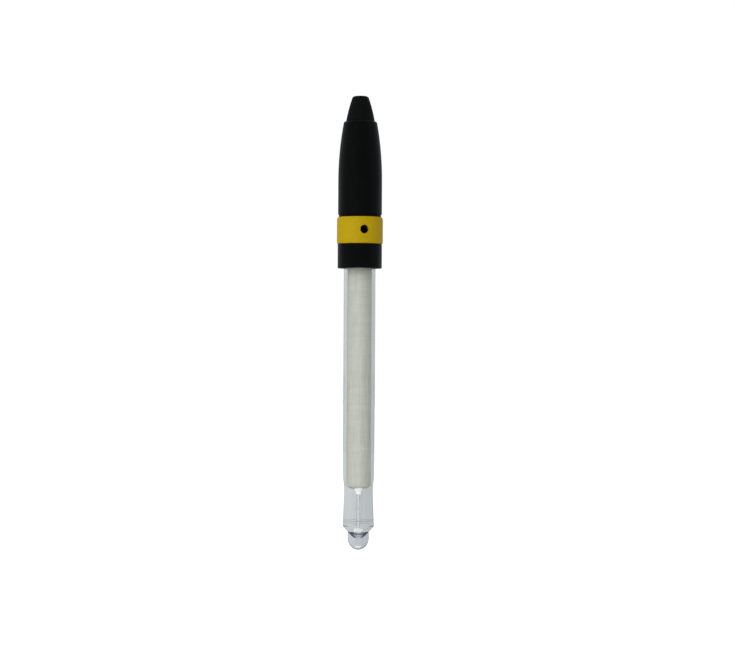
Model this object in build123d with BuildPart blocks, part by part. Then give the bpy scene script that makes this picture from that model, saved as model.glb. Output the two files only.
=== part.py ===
from build123d import *
import os
from math import cos, radians, sin, sqrt

# A refillable combination pH electrode with a glass shaft, standing upright with its bulb down.
# The origin is on the electrode's axis, at the underside of the collar. +Z points up to the
# cable's inlet, and -Y is the front. Every size is in millimetres.

os.makedirs("parts", exist_ok=True)

# Glass shaft
shaft_diameter = 12.0
shaft_wall = 1.0
shaft_length = 72.0
drawn_diameter = 11.72
drawn_length = 7.4
shoulder_length = 2.8
waist_diameter = 10.96
waist_length = 2.6
skirt_diameter = 11.84
skirt_length = 12.9
neck_diameter = 7.9
neck_bore = 6.2
neck_length = 0.4
cone_wall = 0.85
seat_step = 0.2
seat_length = 8.2

# Inner tube, with its stem and the ring seal that closes the space round it
inner_diameter = 7.2
inner_wall = 0.5
inner_rise = 26.0
inner_shoulder_radius = 1.6
inner_end_below_waist = 1.0
mouth_diameter = 2.8
mouth_bore = 2.0
mouth_length = 1.8
guide_seat_rise = 0.8
stem_diameter = 2.0
stem_bore = 1.24
stem_taper_length = 2.0
stem_below_seal = 2.5
seal_thickness = 0.6
seal_drop = 2.0
seal_fillet = 0.7

# Sensing bulb
bulb_diameter = 8.05
bulb_wall = 0.4
bulb_length = 6.45
bulb_dome_height = 4.4
bulb_rim_height = 0.6

# What the inner tube holds
sleeve_wall = 0.25
sleeve_clearance = 0.05
sleeve_top_level = 5.0
guide_head_length = 2.5
guide_tail_length = 1.2
wire_diameter = 0.5
wire_end_in_stem = 0.5
wire_rise = 36.0
insulation_diameter = 1.0
insulation_foot_level = 20.5
insulation_top_level = 32.6

# What the space between the tubes holds
reference_reach = 4.25
reference_coat_diameter = 0.8
reference_coat_length = 30.0
reference_depth = 70.0
junction_diameter = 1.0
junction_above_skirt_end = 6.4
junction_tip = 0.3
electrolyte_level = 6.0

# Head body: the collar, the core under the ring and the stub inside the cap
collar_diameter = 16.76
collar_height = 9.2
collar_corner = 0.4
socket_mouth_clearance = 0.15
edge_break = 0.15
chamber_bore = 9.8
stub_diameter = 13.1
stub_height = 11.5
bond_gap = 0.05

# Refill ring, its two seals and the washer that holds it down
ring_diameter = 17.4
ring_bore = 14.0
ring_height = 10.08
ring_bevel_height = 0.9
ring_bevel_depth = 0.35
ring_foot_fillet = 0.5
running_gap = 0.08
port_diameter = 3.2
port_rim = 0.2
port_rise = 5.25
port_angle = 12.0
core_port_diameter = 2.8
seal_section = 0.92
seal_proud = 0.05
seal_groove_width = 1.2
seal_spacing = 6.0
washer_diameter = 16.0
washer_thickness = 0.86

# Cap
cap_diameter = 16.62
cap_wall = 1.2
cap_barrel_height = 12.7
cap_ogive_height = 22.6
cap_top_diameter = 12.5
cap_top_fillet = 0.8
cap_foot_fillet = 0.35
cap_lip_thickness = 1.4
cap_lip_bore = 9.2

# Cable boot
boot_diameter = 10.95
boot_tip_diameter = 5.85
boot_height = 9.6
boot_bulge = 0.2
boot_tip_fillet = 1.1
boot_bore = 3.1
boot_bore_chamfer = 0.2
boot_flange_diameter = 10.1
boot_flange_height = 1.3

# Stopping and joints in the head
chamber_seal_level = 20.5
chamber_seal_height = 3.0
stopper_height = 4.5
potting_top_level = 30.2
ferrule_diameter = 1.7
ferrule_wire_length = 2.5
ferrule_length = 5.0
ferrule_mouth = 1.0

# Hidden seats stand off by this much, and so do the liquids from the glass
seat_gap = 0.02

# Levels up and down the axis
drawn_level = -shaft_length
shoulder_level = drawn_level - drawn_length
waist_level = shoulder_level - shoulder_length
skirt_level = waist_level - waist_length
cone_level = skirt_level - skirt_length
cone_length = (skirt_diameter - neck_diameter) / 2
neck_level = cone_level - cone_length
seal_level = neck_level - neck_length
seal_top_level = seal_level + seal_thickness
stem_end_level = seal_level - stem_below_seal
bulb_tip_level = seal_level - bulb_length
dome_level = bulb_tip_level + bulb_dome_height
inner_end_level = waist_level - inner_end_below_waist
inner_floor_level = inner_end_level + inner_wall
mouth_end_level = inner_end_level - mouth_length
ring_level = collar_height + running_gap
ring_top_level = ring_level + ring_height
core_top_level = ring_top_level + running_gap
cap_level = core_top_level + washer_thickness
ogive_level = cap_level + cap_barrel_height
cap_top_level = ogive_level + cap_ogive_height
lip_level = cap_top_level - cap_lip_thickness
stub_top_level = cap_level + stub_height - washer_thickness
port_level = ring_level + port_rise
flange_level = lip_level - boot_flange_height
boot_top_level = cap_top_level + boot_height
chamber_seal_top_level = chamber_seal_level + chamber_seal_height
guide_shoulder_level = mouth_end_level + guide_seat_rise
reference_foot_level = -reference_depth

# Radii
shaft_radius = shaft_diameter / 2
drawn_radius = drawn_diameter / 2
waist_radius = waist_diameter / 2
skirt_radius = skirt_diameter / 2
neck_radius = neck_diameter / 2
neck_bore_radius = neck_bore / 2
seat_radius = shaft_radius - seat_step
inner_radius = inner_diameter / 2
inner_bore_radius = inner_radius - inner_wall
stem_radius = stem_diameter / 2
stem_bore_radius = stem_bore / 2
mouth_radius = mouth_diameter / 2
mouth_bore_radius = mouth_bore / 2
bulb_radius = bulb_diameter / 2
sleeve_radius = inner_bore_radius - sleeve_clearance
wire_radius = wire_diameter / 2
insulation_radius = insulation_diameter / 2
collar_radius = collar_diameter / 2
ring_radius = ring_diameter / 2
ring_bore_radius = ring_bore / 2
core_radius = ring_bore_radius - running_gap
chamber_radius = chamber_bore / 2
stub_radius = stub_diameter / 2
cap_radius = cap_diameter / 2
cap_top_radius = cap_top_diameter / 2
lip_radius = cap_lip_bore / 2
boot_bore_radius = boot_bore / 2

# The port looks out of the ring a little to the right of the front
port_plane = Plane(
    origin=(0, 0, port_level),
    z_dir=(sin(radians(port_angle)), -cos(radians(port_angle)), 0),
)


def outer_glass_line():
    """The outside of the outer tube, from the collar down to the ring seal."""
    return FilletPolyline(
        (shaft_radius, 0),
        (shaft_radius, drawn_level),
        (drawn_radius, shoulder_level),
        (waist_radius, waist_level),
        (waist_radius, skirt_level),
        (skirt_radius, cone_level),
        (neck_radius, neck_level),
        (neck_radius, seal_level),
        radius=[8, 3, 1.6, 8, 0.8, 0.3],
    )


def glass_bore_line(top_level, gap=0.0):
    """The bore of the outer tube down to the ring seal's upper face, drawn in by the gap."""
    # the cone falls at 45 degrees, so its wall measured level is longer than its thickness
    cone_rise = cone_wall * sqrt(2) + gap
    return FilletPolyline(
        (shaft_radius - shaft_wall - gap, top_level),
        (shaft_radius - shaft_wall - gap, drawn_level),
        (drawn_radius - shaft_wall - gap, shoulder_level),
        (waist_radius - shaft_wall - gap, waist_level),
        (waist_radius - shaft_wall - gap, skirt_level),
        (skirt_radius - shaft_wall - gap, cone_level - shaft_wall + cone_rise),
        (neck_bore_radius - gap, cone_level - skirt_radius + neck_bore_radius + cone_rise),
        (neck_bore_radius - gap, seal_top_level + gap),
        radius=[8, 3, 1.6, 8, 0.8, 0.2],
    )


def inner_tube_line(top_level, gap=0.0):
    """The outside of the inner tube down to the ring seal's upper face, let out by the gap."""
    return FilletPolyline(
        (inner_radius + gap, top_level),
        (inner_radius + gap, inner_end_level - gap),
        (mouth_radius + gap, inner_end_level - gap),
        (mouth_radius + gap, mouth_end_level),
        (stem_radius + gap, mouth_end_level - stem_taper_length),
        (stem_radius + gap, seal_top_level - seal_drop + 2 * gap),
        (neck_bore_radius - gap, seal_top_level + gap),
        radius=[inner_shoulder_radius, 0.5, 1.0, 2.0, seal_fillet],
    )


def dome_line(radius, height):
    """A quarter oval from the bulb's lowest point up to its widest level."""
    handle = 4 / 3 * (sqrt(2) - 1)
    return Bezier(
        (0, dome_level - height),
        (radius * handle, dome_level - height),
        (radius, dome_level - height * handle),
        (radius, dome_level),
    )


def ogive_radius_at(level, wall=0.0):
    """The cap's radius above its barrel, inside a wall of this thickness."""
    narrowing = cap_radius - cap_top_radius
    bend = (cap_ogive_height**2 + narrowing**2) / (2 * narrowing)
    return cap_radius - bend + sqrt((bend - wall) ** 2 - (level - ogive_level) ** 2)


# The shaft is one tube, worked in the flame. Its top is ground down a little to be bonded in the
# collar, and its end is drawn in to a waist, opened into a skirt and closed through a cone.
with BuildPart() as outer_glass_tube:
    with BuildSketch(Plane.XZ):
        with BuildLine():
            outside = outer_glass_line()
            bore = glass_bore_line(seat_length)
            Polyline(outside @ 0, (seat_radius, 0), (seat_radius, seat_length), bore @ 0)
            Polyline(bore @ 1, (neck_bore_radius, seal_level), outside @ 1)
        make_face()
    revolve(axis=Axis.Z)
    junction_level = cone_level + junction_above_skirt_end
    with BuildSketch(Plane.XZ.offset(-waist_radius + shaft_wall)):
        with Locations((0, junction_level)):
            Circle(junction_diameter / 2 + seat_gap)
    extrude(amount=-2 * shaft_wall, mode=Mode.SUBTRACT)
outer_glass_tube.part.label = "outer_glass_tube"
export_step(outer_glass_tube.part, "parts/outer_glass_tube.step")

# The inner tube ends in a round shoulder over a narrow stem. The stem passes through the ring
# seal, a sagging glass web that joins it to the outer tube's neck, and opens inside the bulb.
with BuildPart() as inner_glass_tube:
    with BuildSketch(Plane.XZ):
        with BuildLine():
            outside = inner_tube_line(inner_rise)
            below_seal = FilletPolyline(
                outside @ 1,
                (neck_bore_radius, seal_level),
                (stem_radius, seal_level - seal_drop),
                (stem_radius, stem_end_level),
                radius=[0.1, seal_fillet],
            )
            bore = FilletPolyline(
                (stem_bore_radius, stem_end_level),
                (stem_bore_radius, guide_shoulder_level),
                (mouth_bore_radius, guide_shoulder_level),
                (mouth_bore_radius, inner_floor_level),
                (inner_bore_radius, inner_floor_level),
                (inner_bore_radius, inner_rise),
                radius=[0.05, 0.05, 0.1, inner_shoulder_radius - inner_wall],
            )
            Line(below_seal @ 1, bore @ 0)
            Line(bore @ 1, outside @ 0)
        make_face()
    revolve(axis=Axis.Z)
inner_glass_tube.part.label = "inner_glass_tube"
export_step(inner_glass_tube.part, "parts/inner_glass_tube.step")

# The pH membrane: a thin bulb, blown on the neck, round below and with a rounded rim.
with BuildPart() as sensing_bulb:
    with BuildSketch(Plane.XZ):
        with BuildLine():
            dome = dome_line(bulb_radius, bulb_dome_height)
            rim = FilletPolyline(
                dome @ 1,
                (bulb_radius, seal_level - bulb_rim_height),
                (neck_radius, seal_level),
                radius=[0.8],
            )
            inner_dome = dome_line(bulb_radius - bulb_wall, bulb_dome_height - bulb_wall)
            Polyline(
                inner_dome @ 1,
                (bulb_radius - bulb_wall, seal_level - bulb_rim_height),
                (neck_radius - bulb_wall, seal_level),
                rim @ 1,
            )
            Line(dome @ 0, inner_dome @ 0)
        make_face()
    revolve(axis=Axis.Z)
sensing_bulb.part.label = "sensing_bulb"
export_step(sensing_bulb.part, "parts/sensing_bulb.step")

# The grey sleeve lines the inner tube down into its round shoulder.
with BuildPart() as screen_sleeve:
    sleeve_floor_level = inner_floor_level + sleeve_clearance
    sleeve_hole_radius = mouth_bore_radius + seat_gap
    with BuildSketch(Plane.XZ):
        with BuildLine():
            outside = FilletPolyline(
                (sleeve_radius, sleeve_top_level),
                (sleeve_radius, sleeve_floor_level),
                (sleeve_hole_radius, sleeve_floor_level),
                radius=[inner_shoulder_radius - inner_wall],
            )
            inside = FilletPolyline(
                (sleeve_radius - sleeve_wall, sleeve_top_level),
                (sleeve_radius - sleeve_wall, sleeve_floor_level + sleeve_wall),
                (sleeve_hole_radius, sleeve_floor_level + sleeve_wall),
                radius=[inner_shoulder_radius - inner_wall - sleeve_wall],
            )
            Line(outside @ 0, inside @ 0)
            Line(outside @ 1, inside @ 1)
        make_face()
    revolve(axis=Axis.Z)
screen_sleeve.part.label = "screen_sleeve"
export_step(screen_sleeve.part, "parts/screen_sleeve.step")

# The white guide sits in the mouth of the stem and centres the wire.
with BuildPart() as wire_guide:
    guide_foot_level = guide_shoulder_level - guide_tail_length
    with BuildSketch(Plane.XZ):
        with BuildLine():
            Polyline(
                (wire_radius + seat_gap, guide_foot_level),
                (stem_bore_radius - seat_gap, guide_foot_level),
                (stem_bore_radius - seat_gap, guide_shoulder_level + seat_gap),
                (mouth_bore_radius - seat_gap, guide_shoulder_level + seat_gap),
                (mouth_bore_radius - seat_gap, guide_shoulder_level + guide_head_length),
                (wire_radius + seat_gap, guide_shoulder_level + guide_head_length),
                close=True,
            )
        make_face()
    revolve(axis=Axis.Z)
wire_guide.part.label = "wire_guide"
export_step(wire_guide.part, "parts/wire_guide.step")

# The silver measuring wire runs from the stem's end up through the stopper to its ferrule.
with BuildPart() as measuring_wire:
    wire_foot_level = stem_end_level + wire_end_in_stem
    with BuildSketch(Plane.XY.offset(wire_foot_level)):
        Circle(wire_radius)
    extrude(amount=wire_rise - wire_foot_level)
measuring_wire.part.label = "measuring_wire"
export_step(measuring_wire.part, "parts/measuring_wire.step")

# A sleeve on the measuring wire keeps it off the stopper and the resin.
with BuildPart() as wire_insulation:
    with BuildSketch(Plane.XY.offset(insulation_foot_level)):
        Circle(insulation_radius)
        Circle(wire_radius + seat_gap, mode=Mode.SUBTRACT)
    extrude(amount=insulation_top_level - insulation_foot_level)
wire_insulation.part.label = "wire_insulation"
export_step(wire_insulation.part, "parts/wire_insulation.step")

# The reference wire hangs behind the inner tube, and its lower end is coated with chloride.
with BuildPart() as reference_wire:
    with BuildSketch(Plane.XY.offset(reference_foot_level)):
        with Locations((0, reference_reach)):
            Circle(reference_coat_diameter / 2)
    extrude(amount=reference_coat_length)
    fillet(reference_wire.faces().sort_by(Axis.Z)[0].edges(), reference_coat_diameter / 4)
    with BuildSketch(Plane.XY.offset(reference_foot_level + reference_coat_length)):
        with Locations((0, reference_reach)):
            Circle(wire_radius)
    extrude(amount=wire_rise - reference_foot_level - reference_coat_length)
reference_wire.part.label = "reference_wire"
export_step(reference_wire.part, "parts/reference_wire.step")

# The porous pin is fused through the back of the skirt and lets the electrolyte seep out.
with BuildPart() as ceramic_junction:
    skirt_slope = (skirt_radius - waist_radius) / skirt_length
    glass_face = skirt_radius - skirt_slope * junction_above_skirt_end
    pin_length = shaft_wall + junction_tip
    with BuildSketch(Plane.XZ.offset(-glass_face + seat_gap)):
        with Locations((0, junction_level)):
            Circle(junction_diameter / 2)
    extrude(amount=pin_length)
ceramic_junction.part.label = "ceramic_junction"
export_step(ceramic_junction.part, "parts/ceramic_junction.step")

# The reference electrolyte fills the space between the tubes, over the ring seal.
with BuildPart() as reference_electrolyte:
    with BuildSketch(Plane.XZ):
        with BuildLine():
            outside = glass_bore_line(electrolyte_level, seat_gap)
            inside = inner_tube_line(electrolyte_level, seat_gap)
            Line(outside @ 0, inside @ 0)
        make_face()
    revolve(axis=Axis.Z)
    with BuildSketch(Plane.XY.offset(reference_foot_level - seat_gap)):
        with Locations((0, reference_reach)):
            Circle(reference_coat_diameter / 2 + seat_gap)
    extrude(amount=reference_coat_length + 2 * seat_gap, mode=Mode.SUBTRACT)
    with BuildSketch(Plane.XY.offset(reference_foot_level)):
        with Locations((0, reference_reach)):
            Circle(wire_radius + seat_gap)
    extrude(amount=electrolyte_level - reference_foot_level, mode=Mode.SUBTRACT)
    with BuildSketch(Plane.XZ.offset(-glass_face)):
        with Locations((0, junction_level)):
            Circle(junction_diameter / 2 + seat_gap)
    extrude(amount=pin_length + 2 * seat_gap, mode=Mode.SUBTRACT)
reference_electrolyte.part.label = "reference_electrolyte"
export_step(reference_electrolyte.part, "parts/reference_electrolyte.step")

# The buffer fills the bulb, round the stem, and the stem up to the guide.
with BuildPart() as inner_buffer:
    liquid_radius = bulb_radius - bulb_wall - seat_gap
    liquid_top_level = seal_level - seat_gap
    with BuildSketch(Plane.XZ):
        with BuildLine():
            dome = dome_line(liquid_radius, bulb_dome_height - bulb_wall - seat_gap)
            round_stem = FilletPolyline(
                dome @ 1,
                (liquid_radius, seal_level - bulb_rim_height),
                (neck_radius - bulb_wall - seat_gap, liquid_top_level),
                (neck_bore_radius, liquid_top_level),
                (stem_radius + seat_gap, liquid_top_level - seal_drop),
                (stem_radius + seat_gap, stem_end_level - seat_gap),
                radius=[0.2, 0.1, 0.1, seal_fillet],
            )
            Polyline(
                round_stem @ 1,
                (stem_bore_radius - seat_gap, stem_end_level - seat_gap),
                (stem_bore_radius - seat_gap, guide_foot_level - seat_gap),
                (wire_radius + seat_gap, guide_foot_level - seat_gap),
                (wire_radius + seat_gap, wire_foot_level - seat_gap),
                (0, wire_foot_level - seat_gap),
                dome @ 0,
            )
        make_face()
    revolve(axis=Axis.Z)
inner_buffer.part.label = "inner_buffer"
export_step(inner_buffer.part, "parts/inner_buffer.step")

# One moulding carries everything: the collar below, the core that the ring turns on, with the
# port and two seal grooves, and the stub that the cap is bonded to.
with BuildPart() as head_body:
    socket_radius = seat_radius + bond_gap
    with BuildSketch(Plane.XZ) as head_profile:
        with BuildLine():
            Polyline(
                (socket_radius, 0),
                (collar_radius, 0),
                (collar_radius, collar_height),
                (core_radius, collar_height),
                (core_radius, core_top_level),
                (stub_radius, core_top_level),
                (stub_radius, stub_top_level),
                (chamber_radius, stub_top_level),
                (chamber_radius, seat_length),
                (socket_radius, seat_length),
                close=True,
            )
        make_face()
        chamfer(
            head_profile.vertices().sort_by_distance((socket_radius, 0))[0],
            shaft_radius + socket_mouth_clearance - socket_radius,
        )
        fillet(head_profile.vertices().sort_by_distance((collar_radius, 0))[0], collar_corner)
        fillet(
            head_profile.vertices().sort_by_distance((collar_radius, collar_height))[0], edge_break
        )
    revolve(axis=Axis.Z)
    groove_depth = seal_section - seal_proud
    with BuildSketch(Plane.XZ):
        with Locations((core_radius, port_level)):
            with GridLocations(0, seal_spacing, 1, 2):
                Rectangle(
                    groove_depth, seal_groove_width, align=(Align.MAX, Align.CENTER)
                )
    revolve(axis=Axis.Z, mode=Mode.SUBTRACT)
    with BuildSketch(port_plane):
        Circle(core_port_diameter / 2)
    extrude(amount=ring_radius, mode=Mode.SUBTRACT)
head_body.part.label = "head_body"
export_step(head_body.part, "parts/head_body.step")

# Two O-rings in the core's grooves keep the port tight when the ring is turned shut.
seal_levels = {
    "upper_ring_seal": port_level + seal_spacing / 2,
    "lower_ring_seal": port_level - seal_spacing / 2,
}
for name, level in seal_levels.items():
    with BuildPart() as ring_seal:
        with BuildSketch(Plane.XZ):
            with Locations((core_radius + seal_proud - seal_section / 2, level)):
                Circle(seal_section / 2)
        revolve(axis=Axis.Z)
    ring_seal.part.label = name
    export_step(ring_seal.part, f"parts/{name}.step")

# The yellow ring turns on the core. Its hole stands over the core's port for refilling.
with BuildPart() as refill_ring:
    with BuildSketch(Plane.XZ) as ring_profile:
        with BuildLine():
            Polyline(
                (ring_bore_radius, ring_level),
                (ring_radius, ring_level),
                (ring_radius, ring_top_level - ring_bevel_height),
                (ring_radius - ring_bevel_depth, ring_top_level),
                (ring_bore_radius, ring_top_level),
                close=True,
            )
        make_face()
        fillet(ring_profile.vertices().sort_by_distance((ring_radius, ring_level))[0], ring_foot_fillet)
        fillet(
            ring_profile.vertices().sort_by_distance(
                (ring_radius - ring_bevel_depth, ring_top_level)
            )[0],
            edge_break,
        )
    revolve(axis=Axis.Z)
    with BuildSketch(port_plane):
        Circle(port_diameter / 2)
    extrude(amount=ring_diameter, mode=Mode.SUBTRACT)
    rim_point = port_plane.from_local_coords((0, port_diameter / 2, ring_radius))
    chamfer(refill_ring.edges().sort_by_distance(rim_point)[0], port_rim)
refill_ring.part.label = "refill_ring"
export_step(refill_ring.part, "parts/refill_ring.step")

# A thin washer under the cap's foot holds the ring down.
with BuildPart() as ring_washer:
    with BuildSketch(Plane.XY.offset(core_top_level)):
        Circle(washer_diameter / 2)
        Circle(stub_radius + seat_gap, mode=Mode.SUBTRACT)
    extrude(amount=washer_thickness)
ring_washer.part.label = "ring_washer"
export_step(ring_washer.part, "parts/ring_washer.step")

# The cap is a hollow bullet: a barrel that fits over the stub, an ogive, and a lip at its mouth
# that holds the boot.
with BuildPart() as head_cap:
    with BuildSketch(Plane.XZ) as cap_profile:
        with BuildLine():
            cavity_radius = cap_radius - cap_wall
            cavity_level = stub_top_level + running_gap
            lip_seat_radius = ogive_radius_at(lip_level, cap_wall)
            ogive = TangentArc(
                (cap_radius, ogive_level), (cap_top_radius, cap_top_level), tangent=(0, 1)
            )
            cavity = TangentArc(
                (cavity_radius, ogive_level), (lip_seat_radius, lip_level), tangent=(0, 1)
            )
            Polyline(
                ogive @ 1,
                (lip_radius, cap_top_level),
                (lip_radius, lip_level),
                cavity @ 1,
            )
            Polyline(
                cavity @ 0,
                (cavity_radius, cavity_level),
                (stub_radius + bond_gap, cavity_level),
                (stub_radius + bond_gap, cap_level),
                (cap_radius, cap_level),
                ogive @ 0,
            )
        make_face()
        fillet(
            cap_profile.vertices().sort_by_distance((cap_top_radius, cap_top_level))[0],
            cap_top_fillet,
        )
        fillet(cap_profile.vertices().sort_by_distance((cap_radius, cap_level))[0], cap_foot_fillet)
    revolve(axis=Axis.Z)
head_cap.part.label = "head_cap"
export_step(head_cap.part, "parts/head_cap.step")

# The rubber boot snaps into the cap's mouth with a flange under the lip, and its bore is the
# cable's inlet.
with BuildPart() as cable_boot:
    with BuildSketch(Plane.XZ) as boot_profile:
        with BuildLine():
            flank = SagittaArc(
                (boot_diameter / 2, cap_top_level),
                (boot_tip_diameter / 2, boot_top_level),
                -boot_bulge,
            )
            Polyline(
                flank @ 1,
                (boot_bore_radius, boot_top_level),
                (boot_bore_radius, flange_level),
                (boot_flange_diameter / 2, flange_level),
                (boot_flange_diameter / 2, lip_level),
                (lip_radius - seat_gap, lip_level),
                (lip_radius - seat_gap, cap_top_level),
                flank @ 0,
            )
        make_face()
        fillet(
            boot_profile.vertices().sort_by_distance((boot_tip_diameter / 2, boot_top_level))[0],
            boot_tip_fillet,
        )
        chamfer(
            boot_profile.vertices().sort_by_distance((boot_bore_radius, boot_top_level))[0],
            boot_bore_chamfer,
        )
    revolve(axis=Axis.Z)
cable_boot.part.label = "cable_boot"
export_step(cable_boot.part, "parts/cable_boot.step")

# A silicone bush shuts the electrolyte's space above the port, round the inner tube.
with BuildPart() as chamber_seal:
    with BuildSketch(Plane.XY.offset(chamber_seal_level)):
        Circle(chamber_radius - seat_gap)
        Circle(inner_radius + seat_gap, mode=Mode.SUBTRACT)
        with Locations((0, reference_reach)):
            Circle(wire_radius + seat_gap, mode=Mode.SUBTRACT)
    extrude(amount=chamber_seal_height)
chamber_seal.part.label = "chamber_seal"
export_step(chamber_seal.part, "parts/chamber_seal.step")

# A silicone stopper closes the inner tube, with the insulated wire through it.
with BuildPart() as tube_stopper:
    with BuildSketch(Plane.XY.offset(inner_rise)):
        Circle(inner_bore_radius - seat_gap)
        Circle(insulation_radius + seat_gap, mode=Mode.SUBTRACT)
    extrude(amount=-stopper_height)
tube_stopper.part.label = "tube_stopper"
export_step(tube_stopper.part, "parts/tube_stopper.step")

# Resin is poured over the bush and the stopper, round the tube's end and both wires.
with BuildPart() as epoxy_potting:
    with BuildSketch(Plane.XY.offset(chamber_seal_top_level)):
        Circle(chamber_radius - seat_gap)
    extrude(amount=potting_top_level - chamber_seal_top_level)
    with BuildSketch(Plane.XY.offset(chamber_seal_top_level)):
        Circle(inner_radius + seat_gap)
    extrude(amount=inner_rise - chamber_seal_top_level, mode=Mode.SUBTRACT)
    with BuildSketch(Plane.XY.offset(chamber_seal_top_level)):
        Circle(insulation_radius + seat_gap)
        with Locations((0, reference_reach)):
            Circle(wire_radius + seat_gap)
    extrude(amount=potting_top_level - chamber_seal_top_level, mode=Mode.SUBTRACT)
epoxy_potting.part.label = "epoxy_potting"
export_step(epoxy_potting.part, "parts/epoxy_potting.step")

# A crimped sleeve on the end of each wire takes one conductor of the cable.
ferrule_reaches = {"core_ferrule": 0.0, "screen_ferrule": reference_reach}
for name, reach in ferrule_reaches.items():
    with BuildPart() as ferrule:
        with BuildSketch(Plane.XY.offset(wire_rise - ferrule_wire_length)):
            with Locations((0, reach)):
                Circle(ferrule_diameter / 2)
                Circle(wire_radius + seat_gap, mode=Mode.SUBTRACT)
        extrude(amount=ferrule_length)
        with BuildSketch(Plane.XY.offset(wire_rise)):
            with Locations((0, reach)):
                Circle(ferrule_mouth / 2)
        extrude(amount=ferrule_length, mode=Mode.SUBTRACT)
    ferrule.part.label = name
    export_step(ferrule.part, f"parts/{name}.step")
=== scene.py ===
from math import ceil, cos, degrees, pi, radians, sin, sqrt, tan

import bmesh
import bpy
from mathutils import Matrix, Vector


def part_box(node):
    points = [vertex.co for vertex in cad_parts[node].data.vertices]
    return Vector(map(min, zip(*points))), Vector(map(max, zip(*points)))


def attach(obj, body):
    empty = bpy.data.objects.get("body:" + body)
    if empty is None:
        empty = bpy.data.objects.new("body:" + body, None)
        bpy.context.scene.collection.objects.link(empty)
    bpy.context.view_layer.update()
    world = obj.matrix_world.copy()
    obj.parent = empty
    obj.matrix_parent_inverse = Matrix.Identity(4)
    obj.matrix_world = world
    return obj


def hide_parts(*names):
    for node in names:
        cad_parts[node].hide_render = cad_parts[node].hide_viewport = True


# The refillable pH electrode hangs upright with its bulb down, +Z up and -Y to the front. Outlines
# are written in millimetres, as (radius, level, rounding) corners round the electrode's axis.

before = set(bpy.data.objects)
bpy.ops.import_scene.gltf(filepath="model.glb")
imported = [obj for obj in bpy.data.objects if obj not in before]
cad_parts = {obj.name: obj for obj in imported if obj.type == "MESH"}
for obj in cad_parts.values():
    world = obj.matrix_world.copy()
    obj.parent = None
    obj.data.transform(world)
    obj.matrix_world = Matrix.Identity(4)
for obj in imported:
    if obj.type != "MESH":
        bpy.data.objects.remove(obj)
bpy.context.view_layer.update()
scene = bpy.context.scene
scene.view_settings.view_transform = "Standard"


# Camera
# A long lens looks level at the shaft from the front. The head stands above it and is seen from
# a little below, and the bulb from a little above. The photograph leans the electrode a little.
mm = 0.001
photo_width = 735
photo_height = 664
photo_axis_x = 359.35
photo_collar_foot_y = 268.5
photo_shaft_width = 31.68
shaft_width = 12 * mm
pixels_per_metre = photo_shaft_width / shaft_width
lens_length = 98
sensor_width = 36
camera_distance = lens_length / sensor_width * photo_width / pixels_per_metre
camera_level = (photo_collar_foot_y - photo_height / 2) / pixels_per_metre
camera_side = (photo_width / 2 - photo_axis_x) / pixels_per_metre
camera_lean = radians(-0.31)

lens = bpy.data.cameras.new("camera")
lens.lens = lens_length
lens.sensor_width = sensor_width
camera = bpy.data.objects.new("camera", lens)
camera.location = (camera_side, -camera_distance, camera_level)
camera.rotation_euler = (radians(90), camera_lean, 0)
scene.collection.objects.link(camera)
scene.camera = camera


# Studio
# A white room: the camera sees plain white, glass shows a softer grey-white, darker to the left,
# and what plastic mirrors is dark in front and pale behind. The pale floor keeps to these colours.
class Shade:
    """A socket of a shader tree. Sums written on it add Math nodes, and node() adds any other."""

    def __init__(self, tree, socket=None):
        self.tree = tree
        self.socket = socket

    def node(self, kind, sockets=(), output=0, **settings):
        """Adds a node, sets its settings, feeds its sockets and gives one of its outputs."""
        made = self.tree.nodes.new("ShaderNode" + kind)
        for setting, value in settings.items():
            if setting == "stops":
                ramp = made.color_ramp.elements
                while len(ramp) < len(value):
                    ramp.new(1.0)
                for stop, (position, colour) in zip(ramp, value):
                    stop.position = position
                    stop.color = (*colour, 1.0)
            else:
                setattr(made, setting, value)
        for socket, value in dict(sockets).items():
            if isinstance(value, Shade):
                self.tree.links.new(value.socket, made.inputs[socket])
            else:
                made.inputs[socket].default_value = value
        return Shade(self.tree, made.outputs[output] if made.outputs else None)

    def maths(self, operation, first, second=0.0):
        return self.node("Math", {0: first, 1: second}, operation=operation)

    def __add__(self, other):
        return self.maths("ADD", self, other)

    def __radd__(self, other):
        return self.maths("ADD", other, self)

    def __sub__(self, other):
        return self.maths("SUBTRACT", self, other)

    def __rsub__(self, other):
        return self.maths("SUBTRACT", other, self)

    def __mul__(self, other):
        return self.maths("MULTIPLY", self, other)

    def __rmul__(self, other):
        return self.maths("MULTIPLY", other, self)

    def __pow__(self, other):
        return self.maths("POWER", self, other)

    def __lt__(self, other):
        return self.maths("LESS_THAN", self, other)

    def __gt__(self, other):
        return self.maths("GREATER_THAN", self, other)

    def mix(self, factor, first, second):
        """A blend from the first colour to the second, by the factor."""
        return self.node("Mix", {0: factor, 6: first, 7: second}, 2, data_type="RGBA")

    def along(self, axis):
        """The part of a place or a direction that lies along this axis."""
        return self.node("SeparateXYZ", {"Vector": self}, axis)

    def clamped(self):
        return self.node("Clamp", {"Value": self})

    def to_surface(self):
        """Makes this shader the surface of its material."""
        self.node("OutputMaterial", {"Surface": self})


def ray_is(shade, kind):
    return shade.node("LightPath", output=f"Is {kind} Ray")


room_light = (0.55, 0.555, 0.565, 1.0)
lit_in_glass_front = (1.52, 1.52, 1.50, 1.0)
lit_in_glass_back = (0.45, 0.45, 0.46, 1.0)
lit_steepness = 1.6
mirrored_front = (0.012, 0.014, 0.016, 1.0)
mirrored_back = (0.50, 0.53, 0.58, 1.0)
mirrored_steepness = 3.0
glass_left = (0.55, 0.59, 0.60, 1.0)
glass_right = (0.665, 0.70, 0.705, 1.0)
glass_steepness = 1.2
white = (1.0, 1.0, 1.0, 1.0)

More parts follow.
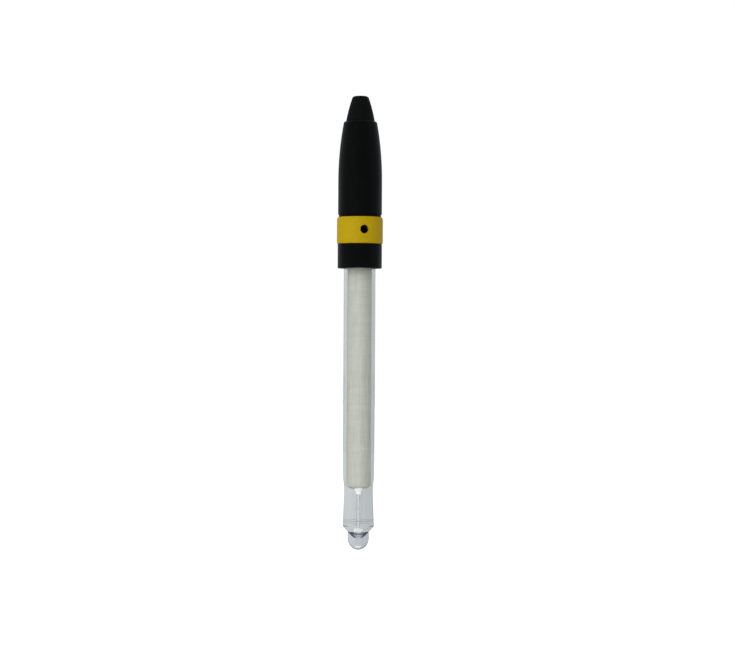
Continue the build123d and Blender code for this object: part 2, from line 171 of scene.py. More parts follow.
room = bpy.data.worlds.new("white_room")
room.use_nodes = True
room.node_tree.nodes.clear()
room_shade = Shade(room.node_tree)
way = room_shade.node("TexCoord", output="Generated")
first_pass = room_shade.node("LightPath", output="Diffuse Depth") < 0.5
backward = way.along("Y") * 0.5 + 0.5
mirrored_colour = room_shade.mix(backward**mirrored_steepness, mirrored_front, mirrored_back)
lit_in_glass = room_shade.mix(
    (backward * lit_steepness).clamped(), lit_in_glass_front, lit_in_glass_back
)
to_the_right = (way.along("X") * glass_steepness + 0.5).clamped()
glass_colour = room_shade.mix(to_the_right, glass_left, glass_right)
glass_colour = room_shade.mix(first_pass, lit_in_glass, glass_colour)
room_colour = room_shade.mix(ray_is(room_shade, "Glossy"), room_light, mirrored_colour)
room_colour = room_shade.mix(ray_is(room_shade, "Transmission"), room_colour, glass_colour)
room_colour = room_shade.mix(ray_is(room_shade, "Camera"), room_colour, white)
room_shade.node(
    "OutputWorld", {"Surface": room_shade.node("Background", {"Color": room_colour})}
)
scene.world = room

floor_level = -0.20
floor_reach = 4.0
floor_albedo = (0.85, 0.85, 0.85, 1.0)
floor_lift = 0.75
floor_through_glass_left = (0.545, 0.58, 0.595, 1.0)
floor_through_glass_right = (0.665, 0.70, 0.70, 1.0)
floor_through_glass_reach = 0.8
floor_mirrored_front = (0.02, 0.022, 0.024, 1.0)
floor_mirrored_back = (0.50, 0.53, 0.56, 1.0)
floor_mirrored_reach = 1.5

shape = bmesh.new()
bmesh.ops.create_circle(shape, cap_ends=True, segments=64, radius=floor_reach)
bmesh.ops.translate(shape, verts=shape.verts, vec=(0, 0, floor_level))
floor_mesh = bpy.data.meshes.new("floor")
shape.to_mesh(floor_mesh)
shape.free()
floor_paint = bpy.data.materials.new("floor_paint")
floor_paint.use_nodes = True
floor_paint.node_tree.nodes.clear()
floor_shade = Shade(floor_paint.node_tree)
seen_by_lamp_light = floor_shade.node(
    "BsdfPrincipled",
    {
        "Base Color": floor_albedo,
        "Roughness": 0.9,
        "Specular IOR Level": 0.0,
        "Emission Color": ray_is(floor_shade, "Camera") * floor_lift,
        "Emission Strength": 1.0,
    },
)
floor_place = floor_shade.node("TexCoord", output="Object")
behind = (floor_place.along("Y") * (1 / floor_mirrored_reach)).clamped()
to_the_right = (floor_place.along("X") * (1 / floor_through_glass_reach) + 0.5).clamped()
through_glass = ray_is(floor_shade, "Transmission")
set_colour = floor_shade.mix(
    through_glass,
    floor_shade.mix(behind, floor_mirrored_front, floor_mirrored_back),
    floor_shade.mix(to_the_right, floor_through_glass_left, floor_through_glass_right),
)
floor_shade.node(
    "MixShader",
    {
        0: through_glass + ray_is(floor_shade, "Glossy"),
        1: seen_by_lamp_light,
        2: floor_shade.node("Emission", {"Color": set_colour}),
    },
).to_surface()
floor_mesh.materials.append(floor_paint)
floor = bpy.data.objects.new("floor", floor_mesh)
scene.collection.objects.link(floor)

# Soft boxes: name, where it stands, its width and height, and its power in watts. The low strip
# is only seen as a small gleam on the glass.
soft_boxes = {
    "key_box": ((-0.70, -0.88, 0.22), (0.8, 0.9), 5.4),
    "fill_box": ((0.95, -0.35, 0.10), (0.4, 0.9), 0.12),
    "top_box": ((0.0, 0.15, 0.95), (0.6, 0.6), 0.22),
    "low_strip": ((0.0, -0.004, -0.195), (0.065, 0.04), 0.042),
}
aim = Vector((0, 0, -0.02))
for name, (place, (width, height), power) in soft_boxes.items():
    lamp = bpy.data.lights.new(name, "AREA")
    lamp.shape = "RECTANGLE"
    lamp.size = width
    lamp.size_y = height
    lamp.energy = power
    box = bpy.data.objects.new(name, lamp)
    box.location = place
    box.rotation_euler = (aim - Vector(place)).to_track_quat("-Z", "Y").to_euler()
    box.visible_camera = False
    box.visible_transmission = False
    box.visible_glossy = name != "key_box"
    box.visible_diffuse = name != "low_strip"
    scene.collection.objects.link(box)


# Glass shaft
# One 12 mm tube of clear lead-free glass, drawn in the flame to a waist, opened to a skirt and
# closed through a cone to the neck. Its top is ground and bonded into the collar.
def limits(node):
    """The lowest and highest corners of a solid of the frame, in millimetres."""
    low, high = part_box(node)
    return low / mm, high / mm


def spun(name, outline, steps=160):
    """A piece turned about the axis: a closed outline of (radius, level, rounding) corners."""
    shape = bmesh.new()
    places = [Vector((radius, 0, level)) for radius, level, rounding in outline]
    corners = [shape.verts.new(place) for place in places]
    for corner, following in zip(corners, corners[1:] + corners[:1]):
        shape.edges.new((corner, following))
    for i, (radius, level, rounding) in enumerate(outline):
        if rounding:
            come = places[i] - places[i - 1]
            go = places[(i + 1) % len(places)] - places[i]
            turn = come.angle(go)
            bmesh.ops.bevel(
                shape,
                geom=[corners[i]],
                offset=rounding * tan(turn / 2),
                offset_type="OFFSET",
                segments=max(2, ceil(degrees(turn) / 9)),
                profile=0.5,
                affect="VERTICES",
                material=-1,
            )
    bmesh.ops.spin(
        shape,
        geom=shape.verts[:] + shape.edges[:],
        cent=(0, 0, 0),
        axis=(0, 0, 1),
        angle=2 * pi,
        steps=steps,
        use_merge=True,
    )
    bmesh.ops.remove_doubles(shape, verts=shape.verts, dist=0.0001)
    bmesh.ops.recalc_face_normals(shape, faces=shape.faces)
    bmesh.ops.scale(shape, vec=(mm, mm, mm), verts=shape.verts)
    mesh = bpy.data.meshes.new(name)
    shape.to_mesh(mesh)
    shape.free()
    mesh.shade_smooth()
    mesh.set_sharp_from_angle(angle=radians(38))
    piece = bpy.data.objects.new(name, mesh)
    scene.collection.objects.link(piece)
    return piece


def finish_of(name):
    """A new material, with the Shade that adds its nodes and the place on the piece."""
    material = bpy.data.materials.new(name)
    material.use_nodes = True
    material.node_tree.nodes.clear()
    shade = Shade(material.node_tree)
    return material, shade, shade.node("TexCoord", output="Object")


def stretched(shade, place, across, along):
    """The place on the piece scaled in cycles a metre, so that a pattern is drawn out."""
    return shade.node("Mapping", {"Vector": place, "Scale": (across, across, along)})


def noise(shade, place, across, along, detail=2.0):
    """A noise pattern of this many cycles a metre across the piece and along its axis."""
    return shade.node(
        "TexNoise",
        {"Vector": stretched(shade, place, across, along), "Scale": 1.0, "Detail": detail},
    )


def bumped(shade, height, strength, depth):
    """The normal over a relief of this depth, in millimetres."""
    return shade.node("Bump", {"Height": height, "Strength": strength, "Distance": depth * mm})


def near_level(shade, place, level, core, reach, strength=1.0):
    """A mask round a level on the axis: full inside the core and nothing past the reach."""
    away = shade.maths("ABSOLUTE", place.along("Z") - level * mm)
    fade = {"From Min": core * mm, "From Max": reach * mm, "To Min": strength, "To Max": 0.0}
    return shade.node("MapRange", {"Value": away, **fade})


def clear_finish(name, tint, ior, waves, wave_strength, dark_bands=(), haze=0.0):
    """Clear glass with the slow waves and haze that working in the flame leaves, and darker bands.
    """
    material, shade, place = finish_of(name)
    colour = (*tint, 1.0)
    for band_level in dark_bands:
        band_darkening = near_level(shade, place, band_level, 0.0, dark_band_half_width)
        colour = shade.mix(band_darkening, colour, dark_band_tint)
    surface = shade.node(
        "BsdfPrincipled",
        {
            "Base Color": colour,
            "Roughness": 0.0,
            "IOR": ior,
            "Transmission Weight": 1.0,
            "Normal": bumped(shade, noise(shade, place, *waves), wave_strength, 0.02),
        },
    )
    if haze:
        fog = near_level(shade, place, haze_level, 0.3, 2.0, haze)
        milky = shade.node("BsdfDiffuse", {"Color": haze_colour})
        surface = shade.node("MixShader", {0: fog, 1: surface, 2: milky})
    surface.to_surface()
    return material


tube_low, tube_high = limits("outer_glass_tube")
tube_radius = tube_high.x
tube_wall = 1.0
seat_radius = tube_radius - 0.2
neck_radius = 3.95
neck_bore_radius = 3.1
drawn_level = -72.0
shoulder_level = drawn_level - 7.4
waist_level = shoulder_level - 2.8
skirt_level = waist_level - 2.6
cone_level = skirt_level - 12.9
drawn_radius = 5.86
waist_radius = 5.48
skirt_radius = 5.92
neck_level = cone_level - (skirt_radius - neck_radius)
seal_level = tube_low.z
cone_wall = 0.85
cone_bore_level = cone_level - tube_wall + cone_wall * sqrt(2)
neck_bore_level = cone_bore_level - (skirt_radius - tube_wall - neck_bore_radius)
tube_outside = [
    (tube_radius, drawn_level, 8),
    (drawn_radius, shoulder_level, 3),
    (waist_radius, waist_level, 1.6),
    (waist_radius, skirt_level, 8),
    (skirt_radius, cone_level, 0.8),
    (neck_radius, neck_level, 0.3),
]
tube_bore = [
    (tube_radius - tube_wall, drawn_level, 8),
    (drawn_radius - tube_wall, shoulder_level, 3),
    (waist_radius - tube_wall, waist_level, 1.6),
    (waist_radius - tube_wall, skirt_level, 8),
    (skirt_radius - tube_wall, cone_bore_level, 0.8),
    (neck_bore_radius, neck_bore_level, 0.2),
]
glass_tint = (0.95, 0.955, 0.955)
# Levels, half width and tint of two darker bands in the wetted glass's colour
dark_band_levels = (-95.3, -96.15)
dark_band_half_width = 0.26
dark_band_tint = (0.60, 0.61, 0.62, 1.0)
haze_level = cone_level - 0.2
haze_colour = (0.80, 0.82, 0.83, 1.0)
glass_ior = 1.47
electrolyte_ior = 1.36


def fused_finish(name, tint):
    """Where two glasses are melted together, or liquid lies on glass, nothing bends the light."""
    material, shade, place = finish_of(name)
    shade.node("BsdfTransparent", {"Color": (*tint, 1.0)}).to_surface()
    return material


def faced(piece, finishes):
    """Gives a clear piece its finishes, each on the faces that its test picks, and no shadow."""
    piece.visible_shadow = False
    for index, (material, picks) in enumerate(finishes):
        piece.data.materials.append(material)
        for face in piece.data.polygons:
            out = Vector((face.center.x, face.center.y, 0)).normalized()
            reach = Vector((face.center.x, face.center.y)).length / mm
            if picks(reach, face.center.z / mm, face.normal.dot(out)):
                face.material_index = index


dry_glass = clear_finish(
    "flame_worked_glass", glass_tint, glass_ior, (260, 40), 0.35, haze=0.32
)
wetted_glass = clear_finish(
    "wetted_glass", glass_tint, glass_ior / electrolyte_ior, (260, 40), 0.35, dark_band_levels
)
fused_glass = fused_finish("fused_glass", (1.0, 1.0, 1.0))

glass_shaft = spun(
    "glass_shaft",
    [(seat_radius, tube_high.z, 0), (seat_radius, 0, 0), (tube_radius, 0, 0)]
    + tube_outside
    + [(neck_radius, seal_level, 0), (neck_bore_radius, seal_level, 0)]
    + tube_bore[::-1]
    + [(tube_radius - tube_wall, tube_high.z, 0)],
)
web_thickness = 0.6
faced(
    glass_shaft,
    [
        (dry_glass, lambda reach, level, outward: True),
        (wetted_glass, lambda reach, level, outward: outward < -0.1),
        (
            fused_glass,
            lambda reach, level, outward: level < seal_level + 0.01
            or (outward < -0.1 and level < seal_level + web_thickness),
        ),
    ],
)
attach(glass_shaft, "electrode")
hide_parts("outer_glass_tube")


# Inner tube
# A thinner tube of the same glass. It ends in a round shoulder over a narrow stem, which a glass
# web at the neck seals to the shaft, and which opens into the bulb.
inner_low, inner_high = limits("inner_glass_tube")
inner_radius = 3.6
inner_bore_radius = 3.1
inner_end_level = waist_level - 1.0
inner_floor_level = inner_end_level + 0.5
shoulder_radius = 1.6
mouth_radius = 1.4
mouth_bore_radius = 1.0
mouth_end_level = inner_end_level - 1.8
guide_shoulder_level = mouth_end_level + 0.8
stem_radius = 1.0
stem_bore_radius = 0.62
stem_level = mouth_end_level - 2.0
web_level = seal_level + web_thickness
web_drop = 2.0
web_rounding = 0.7
fused = 0.05
inner_outside = [
    (inner_radius, inner_end_level, shoulder_radius),
    (mouth_radius, inner_end_level, 0.5),
    (mouth_radius, mouth_end_level, 1.0),
    (stem_radius, stem_level, 2.0),
    (stem_radius, web_level - web_drop, web_rounding),
]

inner_tube = spun(
    "inner_tube",
    [(inner_radius, inner_high.z, 0)]
    + inner_outside
    + [
        (neck_bore_radius + fused, web_level, 0),
        (neck_bore_radius + fused, seal_level, 0),
        (stem_radius, seal_level - web_drop, web_rounding),
        (stem_radius, inner_low.z, 0.15),
        (stem_bore_radius, inner_low.z, 0.15),
        (stem_bore_radius, guide_shoulder_level, 0.05),
        (mouth_bore_radius, guide_shoulder_level, 0.05),
        (mouth_bore_radius, inner_floor_level, 0.1),
        (inner_bore_radius, inner_floor_level, shoulder_radius - 0.5),
        (inner_bore_radius, inner_high.z, 0),
    ],
)
inner_glass = clear_finish(
    "inner_tube_glass", (0.965, 0.97, 0.97), glass_ior / electrolyte_ior, (300, 60), 0.25
)

# The web's faces carry painted shade: their tint turns dark where the web is seen along its face,
# in place of the dark crescents that the curved web gives by bending the light
web_painted_shade, shade, place = finish_of("web_painted_shade")
edge_on_shade = shade.node("LayerWeight", {"Blend": 0.5}, "Facing")
edge_on_shade = shade.node("MapRange", {"Value": edge_on_shade, "From Min": 0.31, "From Max": 0.52})
shade.node(
    "MixShader",
    {
        0: edge_on_shade,
        1: shade.node("BsdfTransparent", {"Color": (0.96, 0.965, 0.975, 1.0)}),
        # This dark tint is the painted shade, shown only where the web is seen edge-on
        2: shade.node("BsdfTransparent", {"Color": (0.38, 0.39, 0.44, 1.0)}),
    },
).to_surface()
faced(
    inner_tube,
    [
        (inner_glass, lambda reach, level, outward: True),
        (
            web_painted_shade,
            lambda reach, level, outward: reach > stem_radius + 0.15
            and level < web_level,
        ),
        (
            fused_glass,
            lambda reach, level, outward: (
                level > inner_floor_level - 0.01 and reach < inner_bore_radius + 0.01
            )
            or (level < web_level + 0.1 and neck_bore_radius < reach < inner_radius - 0.1),
        ),
    ],
)
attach(inner_tube, "electrode")
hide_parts("inner_glass_tube")


# Sensing bulb
# The membrane is a bubble of pH glass, blown on the neck: thin, faintly lilac, round below and
# with a rounded rim where it was gathered on the shaft's end.
bulb_low, bulb_high = limits("sensing_bulb")
bulb_radius = bulb_high.x
bulb_wall = 0.4
bulb_widest_level = bulb_low.z + 4.4
bulb_rim_level = seal_level - 0.6
bulb_tint = (0.94, 0.945, 0.965)
bulb_ior = 1.5
buffer_ior = 1.34
dome_steps = 18


def dome(radius, height):
    """The corners of a quarter oval, from the bulb's widest level down to its lowest point."""
    turns = [pi / 2 * step / dome_steps for step in range(dome_steps + 1)]
    return [(radius * cos(t), bulb_widest_level - height * sin(t), 0) for t in turns]


bulb_skin = spun(
    "bulb_skin",
    [
        (neck_radius - 0.02, seal_level + fused, 0),
        (neck_radius, seal_level, 0),
        (bulb_radius, bulb_rim_level, 0.8),
    ]
    + dome(bulb_radius, bulb_widest_level - bulb_low.z)
    + dome(bulb_radius - bulb_wall, bulb_widest_level - bulb_low.z - bulb_wall)[::-1]
    + [
        (bulb_radius - bulb_wall, bulb_rim_level, 0.5),
        (neck_radius - bulb_wall, seal_level, 0),
        (neck_radius - bulb_wall, seal_level + fused, 0),
    ],
)
faced(
    bulb_skin,
    [
        (
            clear_finish("membrane_glass", bulb_tint, bulb_ior, (500, 500), 0.2),
            lambda reach, level, outward: True,
        ),
        (
            clear_finish(
                "wetted_membrane", bulb_tint, bulb_ior / buffer_ior, (500, 500), 0.2
            ),
            lambda reach, level, outward: outward < 0.0,
        ),
        (fused_glass, lambda reach, level, outward: level > seal_level - 0.001),
    ],
)
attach(bulb_skin, "electrode")
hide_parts("sensing_bulb")


# Electrolyte and buffer
# Salt solution fills the space between the tubes, and buffer fills the bulb and the stem. Both
# wet the glass, whose wetted faces bend the light for them, so seen through glass they are open.
wetting = 0.02
guide_low, guide_high = limits("wire_guide")
liquid_high = limits("reference_electrolyte")[1]

electrolyte = spun(
    "electrolyte",
    [(tube_radius - tube_wall - wetting, liquid_high.z, 0)]
    + [(radius - wetting, level + wetting, rounding) for radius, level, rounding in tube_bore]
    + [(neck_bore_radius - wetting, web_level + wetting, 0)]
    + [(stem_radius + wetting, web_level - web_drop + wetting, web_rounding)]
    + [(radius + wetting, level, rounding) for radius, level, rounding in inner_outside[-2::-1]]
    + [(inner_radius + wetting, liquid_high.z, 0)],
)
electrolyte.data.materials.append(fused_finish("salt_solution", (0.985, 0.992, 0.988)))
electrolyte.visible_shadow = False
electrolyte.visible_transmission = False
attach(electrolyte, "electrode")
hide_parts("reference_electrolyte")

buffer = spun(
    "buffer",
    dome(
        bulb_radius - bulb_wall - wetting,
        bulb_widest_level - bulb_low.z - bulb_wall - wetting,
    )[::-1]
    + [
        (bulb_radius - bulb_wall - wetting, bulb_rim_level, 0.5),
        (neck_radius - bulb_wall - wetting, seal_level - wetting, 0),
        (neck_bore_radius, seal_level - wetting, 0),
        (stem_radius + wetting, seal_level - web_drop - wetting, web_rounding),
        (stem_radius + wetting, inner_low.z - wetting, 0),
        (stem_bore_radius - wetting, inner_low.z - wetting, 0),
        (stem_bore_radius - wetting, guide_low.z - wetting, 0),
        (0, guide_low.z - wetting, 0),
    ],
)
buffer.data.materials.append(fused_finish("buffer_solution", (0.99, 0.99, 0.995)))
buffer.visible_shadow = False
buffer.visible_transmission = False
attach(buffer, "electrode")
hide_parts("inner_buffer")


# Grey sleeve
# A matt grey lining pushed into the inner tube down to its round shoulder. It lies on the glass,
# which magnifies it, and its fine drawn grain runs up and down.
sleeve_high = limits("screen_sleeve")[1]
sleeve_wall = 0.25
sleeve_radius = inner_bore_radius + wetting
sleeve_foot = inner_floor_level - wetting
sleeve_hole_radius = 1.02
sleeve_colours = [(0.3, (0.74, 0.76, 0.66)), (0.7, (0.94, 0.95, 0.86))]

sleeve = spun(
    "sleeve",
    [
        (sleeve_radius, sleeve_high.z, 0),
        (sleeve_radius, sleeve_foot, shoulder_radius - 0.5),
        (sleeve_hole_radius, sleeve_foot, 0),
        (sleeve_hole_radius, sleeve_foot + sleeve_wall, 0),
        (sleeve_radius - sleeve_wall, sleeve_foot + sleeve_wall, shoulder_radius - 0.75),
        (sleeve_radius - sleeve_wall, sleeve_high.z, 0),
    ],
)
material, shade, place = finish_of("grey_lining")
streaks = noise(shade, place, 2600, 90, 3.0)
bands = noise(shade, place, 120, 1100)
grain = streaks * 0.65 + bands * 0.35
shade.node(
    "BsdfPrincipled",
    {
        "Base Color": shade.node("ValToRGB", {"Fac": grain}, stops=sleeve_colours),
        "Roughness": 0.55 + grain * 0.2,
        "Specular IOR Level": 0.2,
        "Normal": bumped(shade, grain, 0.35, 0.06),
    },
).to_surface()
sleeve.data.materials.append(material)
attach(sleeve, "electrode")
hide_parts("screen_sleeve")


# Wire guide and insulation
# A white fluoroplastic plug in the mouth of the stem centres the wire, and a sleeve of the same
# plastic keeps the wire off the stopper in the head. Both have a painted glow: an emission that
# makes the white plastic brighter than its light makes it.
guide_radius = mouth_bore_radius + wetting
guide_tail_radius = stem_bore_radius + wetting
guide_bore_radius = 0.27

guide = spun(
    "guide",
    [
        (guide_bore_radius, guide_low.z, 0),
        (guide_tail_radius, guide_low.z, 0.1),
        (guide_tail_radius, guide_shoulder_level - wetting, 0),
        (guide_radius, guide_shoulder_level - wetting, 0),
        (guide_radius, guide_high.z, 0.15),
        (guide_bore_radius, guide_high.z, 0),
    ],
    steps=64,
)
material, shade, place = finish_of("fluoroplastic")
mottle = noise(shade, place, 900, 900)
shade.node(
    "BsdfPrincipled",
    {
        "Base Color": shade.mix(mottle, (0.90, 0.90, 0.87, 1.0), (0.97, 0.97, 0.96, 1.0)),
        "Roughness": 0.35 + mottle * 0.15,
        # Emission Color is a painted glow: it brightens the white plastic beyond what the lamps
        # give
        "Emission Color": shade.mix(mottle, (0.26, 0.26, 0.25, 1.0), (0.30, 0.30, 0.29, 1.0)),
        "Emission Strength": 1.0,
    },
).to_surface()
guide.data.materials.append(material)
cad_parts["wire_insulation"].material_slots[0].material = material
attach(guide, "electrode")
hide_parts("wire_guide")


# Silver wires
# A silver wire runs down the stem into the buffer, under a pale coat of fresh chloride, and a
# second wire hangs in the electrolyte behind the inner tube, where its coat has turned brown.
material, shade, place = finish_of("silver")
pale_coat_level = -83.5
brown_coat_level = -40
off_axis = 2
tarnish = noise(shade, place, 1500, 400, 4.0)
pale_coat = place.along("Z") < pale_coat_level * mm
brown_coat = (place.along("Z") < brown_coat_level * mm) * (place.along("Y") > off_axis * mm)
coat = shade.maths("MAXIMUM", pale_coat, brown_coat)
pale_chloride = shade.mix(tarnish, (0.86, 0.87, 0.88, 1.0), (0.94, 0.95, 0.95, 1.0))
brown_chloride = shade.mix(tarnish, (0.16, 0.14, 0.13, 1.0), (0.28, 0.25, 0.23, 1.0))
chloride = shade.mix(brown_coat, pale_chloride, brown_chloride)
shade.node(
    "BsdfPrincipled",
    {
        "Base Color": shade.mix(coat, (0.86, 0.85, 0.81, 1.0), chloride),
        "Metallic": 1.0 - coat,
        "Roughness": 0.28 + tarnish * 0.15 + coat * 0.4,
    },
).to_surface()
for name in ("measuring_wire", "reference_wire"):
    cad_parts[name].material_slots[0].material = material


# Ceramic junction
# A pin of unglazed porous ceramic is fused through the back of the skirt. The electrolyte seeps
# out through its pores.
material, shade, place = finish_of("porous_ceramic")
pores = shade.node("TexVoronoi", {"Vector": stretched(shade, place, 9000, 9000), "Scale": 1.0})
shade.node(
    "BsdfPrincipled",
    {
        "Base Color": shade.mix(pores, (0.62, 0.60, 0.55, 1.0), (0.90, 0.89, 0.85, 1.0)),
        "Roughness": 0.85 - pores * 0.1,
        "Normal": bumped(shade, pores, 0.5, 0.03),
    },
).to_surface()
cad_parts["ceramic_junction"].material_slots[0].material = material


# Head moulding
# One black moulding carries the head: the collar that shows, the core the ring turns on, with its
# port and two seal grooves, and the stub inside the cap.
def drilled(piece, outline, angle, level):
    """Cuts a spun plug out of a piece, along a line that leaves the axis at this angle."""
    plug = spun("plug", outline, steps=96)
    upright_to_port = Matrix.Rotation(angle, 4, "Z") @ Matrix.Rotation(radians(90), 4, "X")
    plug.data.transform(Matrix.Translation((0, 0, level * mm)) @ upright_to_port)
    cut = piece.modifiers.new("port", "BOOLEAN")
    cut.object = plug
    cut.solver = "EXACT"
    bpy.context.view_layer.update()
    drilled_mesh = bpy.data.meshes.new_from_object(
        piece.evaluated_get(bpy.context.evaluated_depsgraph_get())
    )
    piece.modifiers.clear()
    piece.data = drilled_mesh
    piece.data.shade_smooth()
    piece.data.set_sharp_from_angle(angle=radians(30))
    bpy.data.objects.remove(plug)


def moulded(name, dark, light, roughness, texture, bump_strength, gloss=0.35):
    """Moulded plastic or rubber: a fine orange peel, and a slow change of tone and gloss."""
    material, shade, place = finish_of(name)
    peel = noise(shade, place, texture, texture, 3.0)
    flow = noise(shade, place, 220, 60)
    shade.node(
        "BsdfPrincipled",
        {
            "Base Color": shade.mix(flow * 0.7 + peel * 0.3, (*dark, 1.0), (*light, 1.0)),
            "Roughness": roughness + (flow - 0.5) * 0.12 + (peel - 0.5) * 0.10,
            "Specular IOR Level": gloss,
            "Normal": bumped(shade, peel, bump_strength, 0.03),
        },
    ).to_surface()
    return material


body_low, body_high = limits("head_body")
ring_low, ring_high = limits("refill_ring")
washer_low, washer_high = limits("ring_washer")
collar_radius = body_high.x
collar_top = 9.2
core_radius = 6.92
stub_radius = 6.55
chamber_radius = 4.9
socket_radius = 5.85
socket_top = tube_high.z
socket_chamfer = 0.3
port_level = ring_low.z + 5.25
port_angle = radians(12)
core_port_radius = 1.4
groove_depth = 0.87
groove_half_width = 0.6
seal_levels = (port_level - 3, port_level + 3)
groove_corners = [
    (radius, level + side * groove_half_width, 0)
    for level in seal_levels
    for radius, side in (
        (core_radius, -1),
        (core_radius - groove_depth, -1),
        (core_radius - groove_depth, 1),
        (core_radius, 1),
    )
]
deep_black = (0.0022, 0.0034, 0.0031)
softer_black = (0.0042, 0.0058, 0.0053)

head_moulding = spun(
    "head_moulding",
    [
        (socket_radius, socket_chamfer, 0),
        (socket_radius + socket_chamfer, body_low.z, 0.05),
        (collar_radius, body_low.z, 0.4),
        (collar_radius, collar_top, 0.15),
        (core_radius, collar_top, 0.1),
    ]
    + groove_corners
    + [
        (core_radius, washer_low.z, 0.1),
        (stub_radius, washer_low.z, 0),
        (stub_radius, body_high.z, 0.15),
        (chamber_radius, body_high.z, 0.1),
        (chamber_radius, socket_top, 0.1),
        (socket_radius, socket_top, 0.1),
    ],
    steps=192,
)
drilled(
    head_moulding,
    [(0, 3.0, 0), (core_port_radius, 3.0, 0), (core_port_radius, 7.6, 0), (0, 7.6, 0)],
    port_angle,
    port_level,
)
satin_black = moulded("satin_black_plastic", deep_black, softer_black, 0.42, 3500, 0.25)
head_moulding.data.materials.append(satin_black)
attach(head_moulding, "electrode")
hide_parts("head_body")


# Ring seals
# Two black O-rings sit in the core's grooves and keep the port tight when the ring is turned.
seal_rubber = moulded("seal_rubber", deep_black, softer_black, 0.5, 2500, 0.1)
for name in ("lower_ring_seal", "upper_ring_seal"):
    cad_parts[name].material_slots[0].material = seal_rubber


# Refill ring
# A yellow moulded ring turns on the core. Its hole opens the port for refilling, and its top edge
# is bevelled to clear the washer.
ring_radius = ring_high.x
ring_bore_radius = 7.0
bevel_height = 0.9
bevel_depth = 0.35
port_radius = 1.6
port_rim = 0.2
yellow = (0.51, 0.345, 0.0012)
deeper_yellow = (0.56, 0.38, 0.0016)

yellow_ring = spun(
    "yellow_ring",
    [
        (ring_bore_radius, ring_low.z, 0.15),
        (ring_radius, ring_low.z, 0.5),
        (ring_radius, ring_high.z - bevel_height, 0.25),
        (ring_radius - bevel_depth, ring_high.z, 0.15),
        (ring_bore_radius, ring_high.z, 0.15),
    ],
    steps=256,
)
drilled(
    yellow_ring,
    [
        (0, 6.0, 0),
        (port_radius, 6.0, 0),
        (port_radius, ring_radius - port_rim, 0.25),
        (port_radius + 2 * port_rim, ring_radius + port_rim, 0),
        (0, ring_radius + port_rim, 0),
    ],
    port_angle,
    port_level,
)
yellow_ring.data.materials.append(
    moulded("yellow_plastic", yellow, deeper_yellow, 0.38, 3000, 0.2, gloss=0.12)
)
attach(yellow_ring, "ring")
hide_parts("refill_ring")


# Ring washer
# A thin dark washer lies between the ring and the cap's foot and takes up the play.
washer_radius = washer_high.x
washer_bore_radius = 6.57

washer = spun(
    "washer",
    [
        (washer_bore_radius, washer_low.z, 0),
        (washer_radius, washer_low.z, 0.1),
        (washer_radius, washer_high.z, 0.1),
        (washer_bore_radius, washer_high.z, 0),
    ],
)
washer.data.materials.append(seal_rubber)
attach(washer, "electrode")
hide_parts("ring_washer")


# Cap
# A hollow bullet in the same black plastic, bonded over the stub: a straight barrel, a long ogive
# and a lip at its mouth that holds the boot.
cap_low, cap_high = limits("head_cap")
cap_radius = cap_high.x
cap_top_radius = 6.25
cap_wall = 1.2
ogive_level = cap_low.z + 12.7
ogive_height = cap_high.z - ogive_level
ogive_bend = (ogive_height**2 + (cap_radius - cap_top_radius) ** 2) / (
    2 * (cap_radius - cap_top_radius)
)
lip_level = cap_high.z - 1.4
lip_radius = 4.6
cavity_level = body_high.z + 0.08
cap_socket_radius = stub_radius + 0.05
ogive_steps = 20


def ogive(wall, top_level):
    """The corners up the ogive's arc, inside a wall of this thickness."""
    levels = [
        ogive_level + (top_level - ogive_level) * step / ogive_steps
        for step in range(ogive_steps + 1)
    ]
    centre = cap_radius - ogive_bend
    return [
        (centre + sqrt((ogive_bend - wall) ** 2 - (level - ogive_level) ** 2), level)
        for level in levels
    ]


cap_outside = [(radius, level, 0) for radius, level in ogive(0, cap_high.z)]
cap_inside = [(radius, level, 0) for radius, level in ogive(cap_wall, lip_level)]
bullet_cap = spun(
    "bullet_cap",
    [(cap_socket_radius, cap_low.z, 0.05), (cap_radius, cap_low.z, 0.35)]
    + cap_outside[:-1]
    + [
        (*cap_outside[-1][:2], 0.8),
        (lip_radius, cap_high.z, 0.05),
        (lip_radius, lip_level, 0.05),
    ]
    + cap_inside[::-1]
    + [
        (cap_radius - cap_wall, cavity_level, 0.1),
        (cap_socket_radius, cavity_level, 0.05),
    ],
    steps=192,
)
bullet_cap.data.materials.append(satin_black)
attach(bullet_cap, "electrode")
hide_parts("head_cap")


# Cable boot
# The soft rubber boot snaps into the cap's mouth by a flange under the lip. Its bore is the
# cable's inlet.
boot_low, boot_high = limits("cable_boot")
boot_radius = boot_high.x
boot_tip_radius = 2.925
boot_bore_radius = 1.55
boot_flange_radius = 5.05
boot_bulge = 0.2
flank_steps = 12


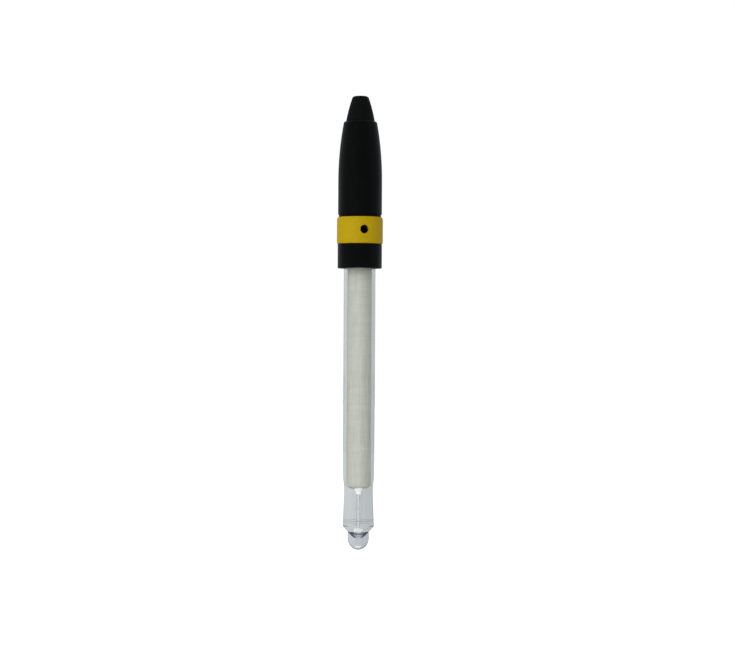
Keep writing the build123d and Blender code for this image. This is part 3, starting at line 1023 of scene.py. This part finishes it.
def boot_flank():
    """The corners up the boot's flank, which swells a little between base and tip."""
    base = Vector((boot_radius, cap_high.z))
    tip = Vector((boot_tip_radius, boot_high.z))
    out = Vector((tip.y - base.y, base.x - tip.x)).normalized()
    shares = [step / flank_steps for step in range(flank_steps + 1)]
    return [
        (*(base.lerp(tip, share) + out * 4 * boot_bulge * share * (1 - share)), 0)
        for share in shares
    ]


flank = boot_flank()
rubber_boot = spun(
    "rubber_boot",
    [(lip_radius - 0.02, cap_high.z, 0)]
    + flank[:-1]
    + [
        (*flank[-1][:2], 1.1),
        (boot_bore_radius, boot_high.z, 0.2),
        (boot_bore_radius, boot_low.z, 0.1),
        (boot_flange_radius, boot_low.z, 0.2),
        (boot_flange_radius, lip_level, 0.1),
        (lip_radius - 0.02, lip_level, 0),
    ],
)
rubber_boot.data.materials.append(
    moulded("boot_rubber", (0.0030, 0.0038, 0.0036), (0.0055, 0.0065, 0.0062), 0.6, 1800, 0.3)
)
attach(rubber_boot, "electrode")
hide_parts("cable_boot")


# Stopping in the head
# A silicone bush and stopper close the two glass spaces, dark resin is poured over them, and a
# tinned ferrule is crimped on each wire for the cable's two conductors.
def plain_finish(name, low_colour, high_colour, roughness, texture, metallic=0.0):
    """A plain finish with a fine mottle in its colour and gloss."""
    material, shade, place = finish_of(name)
    mottle = noise(shade, place, texture, texture, 3.0)
    shade.node(
        "BsdfPrincipled",
        {
            "Base Color": shade.mix(mottle, (*low_colour, 1.0), (*high_colour, 1.0)),
            "Roughness": roughness + (mottle - 0.5) * 0.2,
            "Metallic": metallic,
        },
    ).to_surface()
    return material


silicone = plain_finish("silicone", (0.70, 0.70, 0.66), (0.80, 0.80, 0.77), 0.5, 700)
resin = plain_finish("potting_resin", (0.05, 0.045, 0.03), (0.10, 0.09, 0.07), 0.25, 500)
tin = plain_finish("tinned_metal", (0.62, 0.62, 0.60), (0.78, 0.78, 0.76), 0.35, 1500, 1.0)
hidden_finishes = {
    "chamber_seal": silicone,
    "tube_stopper": silicone,
    "epoxy_potting": resin,
    "core_ferrule": tin,
    "screen_ferrule": tin,
}
for name, material in hidden_finishes.items():
    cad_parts[name].material_slots[0].material = material
